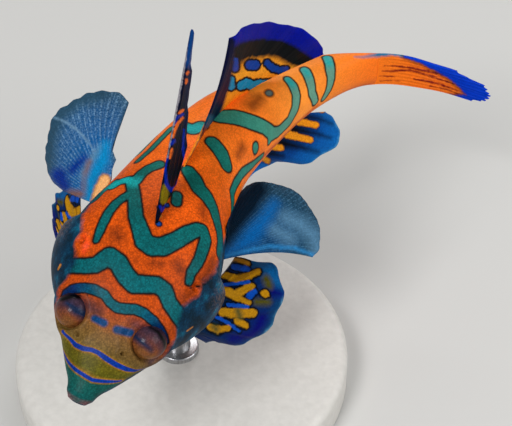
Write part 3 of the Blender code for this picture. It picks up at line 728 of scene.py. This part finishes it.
def fin_piece(node, fin, strokes, skin, surface=None):
    """Model a fin over its middle surface: rays, skin, a slight ruffle and its painted strokes."""
    grid, normal = fin_grid(fin, surface)
    columns, rows = grid.shape[:2]
    u, v = np.meshgrid(np.linspace(0, 1, columns), np.linspace(0, 1, rows), indexing="ij")
    height, waves = fin["ruffle"]
    grid = grid + normal * (height * np.sin(2 * np.pi * waves * u) * v**2)[..., None]
    ridge = (1 - between_rays(u, fin["fine_rays"])) ** RAY_SHARPNESS
    branch = (1 - between_rays(u, 2 * fin["fine_rays"] - 1)) ** BRANCH_SHARPNESS
    ridge = np.maximum(ridge, branch * np.clip((v - BRANCH_FROM) / BRANCH_RUN, 0, BRANCH_HEIGHT))
    smooth, full = fin.get("ridges_from", RIDGES_FROM)
    ridge = ridge * np.clip((v - smooth) / (full - smooth), 0, 1)
    thick = fin["membrane"] + (fin["ray"] - fin["membrane"]) * ridge
    sides = THIN_EDGE + (1 - THIN_EDGE) * np.clip(np.minimum(u, 1 - u) / SIDE_TAPER, 0, 1)
    least = fin.get("least", THIN_EDGE)
    margin = least + (1 - least) * np.clip((1 - v) / (1 - TAPER_FROM), 0, 1)
    thick = thick * np.minimum(sides, margin)
    shape = bmesh.new()
    bmesh.ops.create_grid(shape, x_segments=columns - 1, y_segments=rows - 1, size=0.5)
    made = bmesh.ops.extrude_face_region(shape, geom=shape.faces[:], use_keep_orig=True)
    far = {vert for vert in made["geom"] if isinstance(vert, bmesh.types.BMVert)}
    cells = []
    for vert in shape.verts:
        i = round((vert.co.x + 0.5) * (columns - 1))
        j = round((vert.co.y + 0.5) * (rows - 1))
        cells.append((i, j))
        side = 1 if vert in far else -1
        vert.co = grid[i, j] + normal[i, j] * (side * thick[i, j] / 2)
    i, j = np.array(cells).T
    points = np.array([vert.co[:] for vert in shape.verts])
    marks = {"along": v[i, j], "ridge": ridge[i, j]}
    for mark, places in strokes.items():
        marks[mark] = places[i, j] if isinstance(places, np.ndarray) else seen(points, places)
    piece = new_piece("fish_" + node, shape, marks, (node,))
    piece.data.materials.append(skin)


# Widths of the mottling of the fins' skin and of the flecks along their rays, as the photo shows
# them, and how far noise shifts the colours along a fin and frays its marks.
MOTTLE, FLECK = 1.1111, 0.17857
MOTTLE_SHIFT, FIN_FRAY = 0.1, 0.3


def fin_skin(name, stops, ray_colour, ray_share, layers, grain=0.5):
    """Paint for a fin: colours from root to margin, flecked rays over them, and then its marks."""
    # Thin damp skin: nearly matt, so that the eye sees its deep colours and no glare.
    made, tree, shader = new_material(name, roughness=0.45, coat=0.015, coat_roughness=0.3,
                                      specular=0.02)
    spot = add(tree, "TexCoord", output="Object")
    away, ridge = (add(tree, "Attribute", output="Fac", attribute_name=mark)
                   for mark in ("along", "ridge"))
    mottle = add(tree, "TexNoise", {"Vector": spot, "Scale": 1 / (MOTTLE * MM), "Detail": 3.0})
    shifted = add(tree, "Math", {0: mottle, 1: MOTTLE_SHIFT, 2: away}, operation="MULTIPLY_ADD")
    centred = add(tree, "Math", {0: shifted, 1: MOTTLE_SHIFT / 2}, operation="SUBTRACT")
    base = add(tree, "ValToRGB", {"Fac": centred}, stops=stops)
    flecks = add(tree, "TexNoise", {"Vector": spot, "Scale": 1 / (FLECK * MM), "Detail": 1.0})
    flecked = add(tree, "MapRange", {"Value": flecks, "From Min": 0.35, "From Max": 0.65})
    share = add(tree, "Math", {0: ridge, 1: flecked}, operation="MULTIPLY")
    share = add(tree, "Math", {0: share, 1: ray_share}, operation="MULTIPLY")
    base = add(tree, "Mix", {0: share, MIX_A: base, MIX_B: colour(ray_colour)}, MIX_RESULT,
               data_type="RGBA")
    fray = add(tree, "TexNoise", {"Vector": spot, "Scale": 1 / (FRAY * MM), "Detail": 3.0})
    for mark, tint, edge, soft in layers:
        distance = add(tree, "Attribute", output="Fac", attribute_name=mark)
        distance = add(tree, "Math", {0: fray, 1: FIN_FRAY, 2: distance}, operation="MULTIPLY_ADD")
        base = lay(tree, base, distance, tint, edge + FIN_FRAY / 2, soft)
    finish_paint(tree, shader, base, grain)
    return made


FIRST_DORSAL_MARKS = {
    "orange": (
        ((188, 72, 2.5), (187, 74, 2.5)), ((187, 80, 2.5), (186, 83, 2.5)),
        ((183, 110, 2.5), (179, 113, 2.5)),
        ((183, 118, 2.5), (178, 123, 2.5), (175, 130, 3), (173, 137, 2.5)),
        ((172, 149, 2.5), (170, 158, 2)),
    ),
    "loop": (
        ((183, 114, 2.5), (177, 118, 3), (173, 126, 2)), ((174, 141, 4), (171, 144, 4)),
        ((184, 130, 2), (183, 150, 2.5), (185, 160, 3), (183, 170, 3), (177, 187, 4), (171, 190, 4),
         (167, 185, 3.5), (165, 170, 2.5), (168, 156, 2)),
        ((160, 206, 3), (162, 210, 4), (168, 204, 3)),
    ),
    "tip": (((193, 30, 8), (191, 50, 9), (188, 64, 7)),),
    "olive": (((165, 187, 5), (165, 194, 8), (164, 201, 7)),),
    # The pale line along the front spine is a painted highlight, where the light catches its edge.
    "pale_and_highlight": (
        ((187.4, 46, 1), (183.8, 70, 1.8), (179.8, 90, 2), (175.6, 113, 2), (171.8, 135, 1.6),
         (167.4, 158, 0.8)),
    ),
}
fin_piece("first_dorsal_fin", FIRST_DORSAL, FIRST_DORSAL_MARKS, fin_skin("first_dorsal_skin", (
    (0.0, "#040a12"), (0.5, "#04060c"), (0.72, "#060a1c"), (1.0, "#08183c"),
), "#0a1040", 0.3, (
    ("tip", "#0b3a78", 0.0, 0.2), ("olive", "#7a6a08", 0.0, 0.12), ("loop", "#002290", 0.0, 0.06),
    # The pale coat is a painted highlight on the front spine.
    ("orange", "#e0641e", 0.0, 0.05), ("pale_and_highlight", "#8c8890", 0.0, 0.05),
)))

# Second dorsal fin. Eight branched rays spread a tall sail: orange at its base with two rows of blue
# spots ringed in black, then a sooty band, and a deep blue margin.
SECOND_DORSAL = {
    "at": ((0, 22.8), (1, 40.0)), "angle": ((0, 0), (1, 0)), "side": 1, "rays": 8,
    "tips": ((5.3, 0, 11.5), (4.2, 1.2, 11.3), (7.3, 1.5, 7), (7.6, 1.5, 4.2), (7.1, 1.4, 0.3)),
    "bow": ((0.1, 0.6, 0), (0, 0, 0), (0, 0, 0), (0, 0, 0)), "scallop": 0.01,
    "columns": 220, "membrane": 0.2, "ray": 0.28, "fine_rays": 8, "ruffle": (0.1, 4),
    "rounded": (0, 0.08),
}
SECOND_DORSAL_MARKS = {
    "upper_spots": (
        ((235, 61, 7), (235, 68, 7)), ((250, 65, 9), (255, 65, 9)),
        ((267, 63, 6), (273, 68, 7), (279, 70, 6), (286, 69, 5)),
    ),
    "lower_spots": (
        ((231, 80, 7), (231, 86, 8)),
        ((241, 86, 8), (247, 83, 9), (253, 86, 9), (260, 84, 8), (268, 84, 8), (275, 82, 6)),
    ),
    "front": (
        ((231, 42, 8), (227, 62, 14), (222, 84, 16), (213, 115, 14), (203, 145, 11), (190, 165, 8)),
    ),
    "strip_orange": (((207, 128, 3), (203, 138, 5)), ((196, 153, 4), (191, 162, 6))),
    "strip_teal": (((211, 118, 6), (208, 126, 5)), ((202, 143, 6), (199, 150, 5))),
    "sooty_and_shadow": (
        ((232, 52, 10), (245, 46, 10), (262, 46, 14), (280, 50, 16), (294, 57, 18), (306, 64, 12)),
    ),
    "margin": (
        ((229, 34, 14), (240, 33, 15), (262, 30, 15), (284, 33, 14), (300, 41, 14), (314, 51, 13),
         (326, 60, 12)),
    ),
}
fin_piece("second_dorsal_fin", SECOND_DORSAL, SECOND_DORSAL_MARKS, fin_skin("second_dorsal_skin", (
    (0.0, "#fb8418"), (0.50, "#ffa428"), (0.62, "#e08a1c"), (0.68, "#0c0c0c"), (0.82, "#06080c"),
    (0.86, "#000e84"), (1.0, "#00129c"),
), "#000820", 0.15, (
    ("sooty_and_shadow", "#06090c", 0.0, 0.3), ("upper_spots", "#04060a", 0.2, 0.06),
    ("upper_spots", "#0a3c96", 0.0, 0.05), ("lower_spots", "#04060a", 0.2, 0.06),
    ("lower_spots", "#0f86b0", 0.0, 0.05), ("margin", "#000e8c", 0.0, 0.2),
    ("front", "#04082c", 0.0, 0.12), ("strip_orange", "#8a3c14", 0.0, 0.15),
    ("strip_teal", "#0c4c66", 0.0, 0.2),
)))

# Anal fin. It mirrors the second dorsal under the tail stalk: blue, with a short orange bar on each
# ray near its root, and painted shadow of the body, black at its root and between the bars.
ANAL = {
    "at": ((0, 32.0), (1, 44.0)), "angle": ((0, 180), (1, 180)), "side": 1, "rays": 7,
    "tips": ((4.6, 1.8, -2.6), (6.9, 1, -4.3), (7.1, 2.9, -5), (8.2, 2.9, -4.3), (6.4, -0.9, -3.6)),
    "bow": ((0, 0, 0), (0, 0, 0)), "scallop": 0.03,
    "columns": 150, "membrane": 0.2, "ray": 0.36, "fine_rays": 7, "ruffle": (0.12, 4),
    "rounded": (0, 0.15),
}
ANAL_MARKS = {
    "bars": (
        ((296, 121, 7), (316, 125, 6)), ((287, 134, 8), (310, 140, 6)), ((272, 146, 7), (281, 148, 6)),
        ((306, 106, 6), (322, 110, 5)), ((262, 158, 5), (268, 161, 5)),
    ),
    # Black between the bars: painted shadow of the body.
    "sooty_and_shadow": (
        ((298, 115, 5), (320, 119, 3), (332, 124, 1)), ((292, 129, 7), (318, 134, 3), (330, 138, 1)),
        ((282, 143, 8), (304, 148, 4), (318, 152, 1)), ((270, 153, 6), (282, 156, 3)),
    ),
}
fin_piece("anal_fin", ANAL, ANAL_MARKS, fin_skin("anal_skin", (
    # The black at the root is painted shadow of the body.
    (0.0, "#04060c"), (0.35, "#052248"), (0.6, "#06408a"), (0.8, "#0a5aa8"), (0.96, "#0c62ae"),
    (1.0, "#3a86b8"),
), "#0c50a0", 0.3, (
    ("sooty_and_shadow", "#03060a", 0.0, 0.35), ("bars", "#080604", 0.1, 0.12), ("bars", "#f0961c", 0.0, 0.1),
)))

# Tail fin. Ten branched rays, half closed as one long brush that carries on the bend of the body:
# orange with dark red streaks between the rays, a blue upper edge and a deep blue tip.
TAIL_START, TAIL_LENGTH, TAIL_RAYS = 51.8, 14.2, 10
TAIL_DEPTH = ((0, 4.3), (0.25, 4.0), (0.5, 3.75), (0.75, 3.2), (1, 3.1))
TAIL_REACH = ((0, 0.72), (0.11, 0.8), (0.22, 0.94), (0.33, 0.97), (0.56, 1), (0.78, 0.97),
              (0.89, 0.93), (1, 0.86))
TAIL_SCALLOP = 0.03
TAIL = {"columns": 145, "membrane": 0.3, "ray": 0.62, "fine_rays": 10, "ruffle": (0.06, 3),
        "ridges_from": (0.2, 0.6)}
TAIL_MARKS = {
    "red": (
        ((384, 66, 0.5), (396, 66, 1.6), (412, 68, 1.8), (426, 71, 2), (440, 74, 2), (452, 77, 1)),
        ((382, 71, 0.5), (394, 71, 2), (410, 70, 1.8), (424, 74, 1.8), (436, 77, 1)),
        ((379, 76, 0.3), (386, 76, 1.4), (396, 77, 0.6)),
        ((414, 79, 1), (426, 81, 1.8), (440, 84, 2), (458, 91, 1.4)),
        ((428, 76, 0.6), (442, 80, 1.4), (454, 84, 1)), ((430, 86, 0.6), (446, 89, 1.2), (458, 94, 1)),
        ((380, 81, 0.3), (388, 80.5, 0.9), (400, 81, 0.4)),
    ),
    "edge": (((392, 53, 5), (408, 56, 5)),),
    "tip": (
        ((406, 56, 4), (421, 60, 6), (438, 67, 9), (452, 74, 11), (464, 82, 14), (476, 90, 22),
         (490, 100, 26)),
        ((446, 98, 3), (460, 99, 8), (474, 102, 14)),
    ),
}
# The blue edge carries on from the tail stalk.
TAIL_MARKS["edge"] += SKIN_MARKS["stalk"]


def tail_surface(u, v):
    """Points of the tail fin's middle surface, a half-closed fan that follows the bend of the body."""
    reach = TAIL_LENGTH * along(TAIL_REACH, u) * (1 - TAIL_SCALLOP * between_rays(u, TAIL_RAYS))
    centre, _, _, up = frame_at(TAIL_START - SINK + v * (reach + SINK))
    return centre + up * ((0.5 - u) * along(TAIL_DEPTH, v))[..., None]


fin_piece("tail_fin", TAIL, TAIL_MARKS, fin_skin("tail_skin", (
    (0.0, "#f87a22"), (0.3, "#ee741c"), (0.6, "#e46a18"), (0.8, "#d86a1a"), (0.9, "#0a34a0"),
    (0.97, "#0832b4"), (1.0, "#6a96d0"),
), "#fa8c30", 0.4, (
    ("red", "#7a1a14", 0.0, 0.08), ("edge", "#2a6c94", 0.0, 0.15), ("tip", "#34140c", 0.15, 0.25),
    ("tip", "#0036b8", 0.0, 0.1),
), grain=0.3), tail_surface)

# Pectoral fins. Thin, almost clear fans of some thirty fine rays, held out behind the gill openings:
# bright blue at the root and paler and greyer towards the margin, with rows of pale flecks.
PECTORAL = {
    "at": ((0, 20.9), (1, 19.6)), "angle": ((0, 66), (1, 98)), "rays": 14,
    "columns": 240, "membrane": 0.16, "ray": 0.3, "fine_rays": 28, "ruffle": (0.1, 3),
}
LEFT_PECTORAL = {
    **PECTORAL, "side": 1, "scallop": 0.005, "rounded": (0.05, 0.08),
    "tips": ((7.7, -0.5, -2.6), (9.1, 1.5, -1.4), (9.4, 4.4, -1), (8.4, 6.7, -1.4), (6.4, 8, -1.9)),
    "bow": ((0, -0.5, -0.2), (0.2, 0.2, 0.1), (0.5, 0, 0.4)),
}
RIGHT_PECTORAL = {
    **PECTORAL, "side": -1, "scallop": 0.02, "fold": (0.1, 0.37),
    "tips": ((5.2, -0.6, 1), (9.5, 2.8, 0.6), (8.6, 5.1, 1.2), (7.1, 6.5, 1.2), (5.8, 7.6, 0.2),
             (4.5, 7.3, -1.2), (3.9, 7.1, -2.6), (3.4, 5.9, -3.9), (3.5, 4.3, -4.7)),
    "bow": ((0, 0.7, 0), (0, 0.5, 0), (0, 0.4, 0)),
}
RIGHT_PECTORAL_MARKS = {
    "peach": (((105, 180, 9), (101, 190, 11), (97, 200, 9)),),
    "cyan": (((89, 200, 8), (91, 180, 10), (97, 170, 12), (103, 160, 12), (106, 145, 8)),),
    "dark": (((59, 176, 16), (64, 186, 12)), ((72, 170, 8), (84, 158, 6))),
    "rusty": (((90, 162, 4), (87, 172, 6), (85, 190, 6)), ((72, 194, 8), (84, 194, 6))),
    "pale_and_highlight": (((84, 176, 5), (88, 164, 6), (96, 154, 7), (100, 148, 4)),),
    "crease": (((53, 117, 0.8), (64, 121, 1.6), (76, 129, 1.8), (86, 139, 1.6), (94, 151, 0.8)),),
    "grey": (((44, 166, 12), (46, 136, 16), (56, 112, 16), (76, 96, 14), (100, 92, 12)),),
}
fin_piece("pectoral_fin_right", RIGHT_PECTORAL, RIGHT_PECTORAL_MARKS, fin_skin("pectoral_skin_right", (
    (0.0, "#0c62a0"), (0.3, "#0c5a98"), (0.6, "#144e84"), (0.85, "#1c4a74"), (1.0, "#24485f"),
), "#7ca4c4", 0.75, (
    ("grey", "#2a4a60", 0.3, 0.5), ("pale_and_highlight", "#5c86a4", 0.0, 0.4), ("dark", "#062c84", 0.0, 0.4),
    ("rusty", "#7c5a58", 0.0, 0.3), ("crease", "#6c90ac", 0.0, 0.15), ("cyan", "#0c86be", 0.0, 0.4),
    ("peach", "#c08040", 0.15, 0.15), ("peach", "#f4b878", 0.0, 0.12),
)))

LEFT_PECTORAL_MARKS = {
    "navy": (((226, 240, 10), (236, 220, 20), (246, 204, 26), (258, 190, 20)),),
    "heart": (((226, 254, 4), (240, 246, 12), (252, 236, 16), (266, 218, 12), (274, 204, 8)),),
    "edge": (((226, 256, 2), (250, 250, 4), (270, 246, 4), (295, 248, 4), (316, 256, 4)),),
    "frost": (
        ((318, 250, 12), (314, 236, 14), (300, 224, 14), (286, 218, 12)),
        ((272, 228, 8), (290, 238, 12)),
    ),
}
fin_piece("pectoral_fin_left", LEFT_PECTORAL, LEFT_PECTORAL_MARKS, fin_skin("pectoral_skin_left", (
    (0.0, "#062c50"), (0.3, "#083a66"), (0.6, "#103e66"), (0.85, "#16384f"), (1.0, "#20384a"),
), "#4c7c9c", 0.6, (
    ("frost", "#4e7896", 0.0, 0.7), ("heart", "#065a9c", 0.0, 0.6), ("navy", "#031626", 0.0, 0.5),
    ("edge", "#2a80bc", -0.1, 0.25),
)))

# Pelvic fins. Broad stout fans under the throat, on which the fish perches and walks: deep blue
# with bars of ochre and cobalt across the rays, and a pale scalloped rim.
PELVIC = {
    "at": ((0, 12.5), (1, 16.5)), "angle": ((0, 138), (1, 132)), "rays": 6,
    "bow": ((0, 0.3, 0), (0, 0.3, 0)), "scallop": 0.04,
    "columns": 170, "membrane": 0.22, "ray": 0.5, "fine_rays": 6, "ruffle": (0.15, 5),
}
LEFT_PELVIC = {
    **PELVIC, "side": 1,
    "tips": ((2.6, 2.8, -5.9), (4, 6.6, -6), (6.6, 7.8, -3.7), (9.4, 5.8, -2.6), (8.4, 1.6, -3.7)),
}
RIGHT_PELVIC = {
    **PELVIC, "side": -1,
    "tips": ((7, 4, -5.6), (7.8, 5, -5.6), (8.6, 5.6, -5), (9.2, 5.5, -4.6), (9.6, 4.2, -4.4)),
}
PELVIC_MARKS = {
    "ochre_bars": (
        ((231, 260, 4), (238, 262, 5), (248, 264, 4)),
        ((222, 276, 6), (236, 280, 7), (248, 277, 7), (257, 273, 6)),
        ((210, 293, 8), (221, 290, 7), (234, 296, 9), (246, 289, 7), (251, 287, 6)),
        ((234, 297, 7), (247, 303, 5)), ((264, 294, 8),), ((221, 312, 7), (232, 313, 9), (252, 313, 8)),
        ((236, 320, 6), (244, 324, 6)), ((209, 326, 6), (217, 329, 7), (227, 327, 6)),
    ),
    "dull": (((265, 280, 8), (269, 286, 8)), ((255, 302, 7), (266, 302, 7))),
    "cobalt": (
        ((233, 269, 5), (248, 270, 5)), ((227, 305, 4), (246, 307, 4)), ((249, 296, 7), (254, 292, 6)),
        ((216, 317, 3), (227, 322, 3.5), (238, 330, 3)), ((224, 286, 4), (248, 283, 3)),
    ),
    "indigo": (((272, 292, 10), (280, 294, 8)), ((262, 318, 10), (250, 334, 10), (232, 338, 8))),
    "bright": (((250, 259, 12), (264, 266, 18), (276, 280, 14), (283, 291, 8)),),
    "greenish": (((237, 311, 5), (239, 316, 5)), ((213, 326, 4), (216, 329, 4))),
}
# Both fins have the marks that the photo shows on the left one, ray for ray.
left_grid, _ = fin_grid(LEFT_PELVIC)
marks = {mark: seen(left_grid, strokes) for mark, strokes in PELVIC_MARKS.items()}
pelvic_skin = fin_skin("pelvic_skin", (
    (0.0, "#041c30"), (0.35, "#04203e"), (0.6, "#04225a"), (0.85, "#05285c"), (0.955, "#083a66"),
    (0.985, "#2c6488"), (1.0, "#5c8ca4"),
), "#0c3c78", 0.3, (
    ("bright", "#0a5690", 0.0, 0.6), ("indigo", "#040468", 0.0, 0.5), ("dull", "#4c4814", 0.0, 0.3),
    ("ochre_bars", "#020810", 0.2, 0.08), ("cobalt", "#020810", 0.15, 0.08),
    ("cobalt", "#0a4cb4", 0.0, 0.06), ("ochre_bars", "#bc8410", 0.0, 0.08),
    ("greenish", "#34482a", 0.0, 0.3),
))
fin_piece("pelvic_fin_left", LEFT_PELVIC, marks, pelvic_skin)
fin_piece("pelvic_fin_right", RIGHT_PELVIC, marks, pelvic_skin)

# Display stand. A turned resin disc, sprayed satin, carries one steel rod into the belly; it takes
# the place of the water that held the living fish.
BASE_RADIUS, BASE_HEIGHT, BASE_SIDES = 17.0, 4.0, 160
TOP_ROUNDING, FOOT_ROUNDING, ROUNDING_STEPS = 0.9, 0.3, 6
ROD_RADIUS, ROD_SIDES, ROD_AT, ROD_SUNK = 1.25, 48, 22.0, 0.6
COLLAR_RADIUS, COLLAR_HEIGHT, COLLAR_SUNK, COLLAR_ROUNDING, COLLAR_STEPS = 2.1, 0.7, 0.05, 0.2, 3
SHARP_ANGLE = 40
NEAR = 0.01
# Real orange peel, and brush marks that are drawn about three times as coarse as real ones.
ORANGE_PEEL, BRUSH_MARK, MARK_STRETCH = 0.7143, 0.16667, 0.04


def turned_piece(name, slot, radius, sides, low, high, middle=(0, 0), roundings=()):
    """A turned cylinder of the stand between two heights, with some of its rims rounded."""
    shape = bmesh.new()
    bmesh.ops.create_cone(shape, cap_ends=True, segments=sides, radius1=radius, radius2=radius,
                          depth=high - low, matrix=Matrix.Translation((*middle, (low + high) / 2)))
    for height, rounding, steps in roundings:
        rim = [e for e in shape.edges if all(abs(v.co.z - height) < NEAR for v in e.verts)]
        bmesh.ops.bevel(shape, geom=rim, offset=rounding, segments=steps, profile=0.5,
                        affect="EDGES", material=-1)
    piece = new_piece(name, shape, {}, ("stand_" + slot,))
    piece.data.set_sharp_from_angle(angle=radians(SHARP_ANGLE))
    return piece


disc = turned_piece("stand_disc", "base", BASE_RADIUS, BASE_SIDES, 0, BASE_HEIGHT, roundings=(
    (BASE_HEIGHT, TOP_ROUNDING, ROUNDING_STEPS), (0, FOOT_ROUNDING, ROUNDING_STEPS)))
# Sprayed resin: a faint orange peel breaks up its satin sheen.
material, tree, shader = new_material("sprayed_resin", roughness=0.55, coat=0.1, coat_roughness=0.3)
spot = add(tree, "TexCoord", output="Object")
peel = add(tree, "TexNoise", {"Vector": spot, "Scale": 1 / (ORANGE_PEEL * MM), "Detail": 2.0})
tone = add(tree, "ValToRGB", {"Fac": peel}, stops=((0.3, "#c9c6c0"), (0.7, "#d2cfc9")))
tree.links.new(tone, shader.inputs["Base Color"])
relief = add(tree, "Bump", {"Strength": 0.15, "Distance": 0.05 * MM, "Height": peel})
tree.links.new(relief, shader.inputs["Normal"])
disc.data.materials.append(material)

belly = frame_at(ROD_AT)[0]
rod = turned_piece("stand_rod_steel", "rod", ROD_RADIUS, ROD_SIDES, BASE_HEIGHT - ROD_SUNK,
                   belly[2], belly[:2])
collar_foot = BASE_HEIGHT - COLLAR_SUNK
collar_top = collar_foot + COLLAR_HEIGHT
collar = turned_piece("stand_collar", "rod", COLLAR_RADIUS, ROD_SIDES, collar_foot, collar_top,
                      belly[:2], ((collar_top, COLLAR_ROUNDING, COLLAR_STEPS),))
# Brushed steel: fine marks along the rod vary its tone, under a soft reflection of the room.
material, tree, shader = new_material("brushed_steel", roughness=0.32, coat=0.0)
shader.inputs["Metallic"].default_value = 1.0
spot = add(tree, "TexCoord", output="Object")
stretched = add(tree, "Mapping", {"Vector": spot, "Scale": (1.0, 1.0, MARK_STRETCH)})
brushing = add(tree, "TexNoise", {"Vector": stretched, "Scale": 1 / (BRUSH_MARK * MM), "Detail": 2.0})
steel = add(tree, "ValToRGB", {"Fac": brushing}, stops=((0.3, "#a4a4a6"), (0.7, "#c6c6c8")))
tree.links.new(steel, shader.inputs["Base Color"])
for piece in (rod, collar):
    piece.data.materials.append(material)

# Studio. A pale paper sweep under soft boxes: a key from the upper left and front, a wide fill from
# the right, and a weaker one behind, so that the moist skin shows small soft glints.
FLOOR_SIZE = 3000.0
AIR_COLOUR, AIR_STRENGTH = "#f2f4f6", 0.35
# Each soft box: its place, its side and its watts.
SOFT_BOXES = {
    "key_box": ((-180, -280, 340), 160, 1.5), "fill_box": ((300, -120, 220), 260, 0.75),
    "back_box": ((60, 320, 260), 220, 0.5),
}
shape = bmesh.new()
bmesh.ops.create_grid(shape, x_segments=1, y_segments=1, size=FLOOR_SIZE / 2 * MM)
mesh = bpy.data.meshes.new("paper_floor")
shape.to_mesh(mesh)
shape.free()
floor = bpy.data.objects.new("paper_floor", mesh)
bpy.context.scene.collection.objects.link(floor)
# Matt paper: it takes soft shadows and no gloss, so that the eye stays on the fish.
material, tree, shader = new_material("pale_paper", roughness=0.9, coat=0.0)
shader.inputs["Base Color"].default_value = colour("#c6c5c2")
mesh.materials.append(material)
for name, (place, size, watts) in SOFT_BOXES.items():
    light = bpy.data.lights.new(name, "AREA")
    light.size = size * MM
    light.energy = watts
    lamp = bpy.data.objects.new(name, light)
    lamp.location = Vector(place) * MM
    lamp.rotation_euler = (Vector(CAMERA_AIM) - Vector(place)).to_track_quat("-Z", "Y").to_euler()
    bpy.context.scene.collection.objects.link(lamp)
world = bpy.data.worlds.new("studio_air")
world.use_nodes = True
world.node_tree.nodes["Background"].inputs["Color"].default_value = colour(AIR_COLOUR)
world.node_tree.nodes["Background"].inputs["Strength"].default_value = AIR_STRENGTH
bpy.context.scene.world = world
bpy.context.scene.view_settings.view_transform = "Standard"
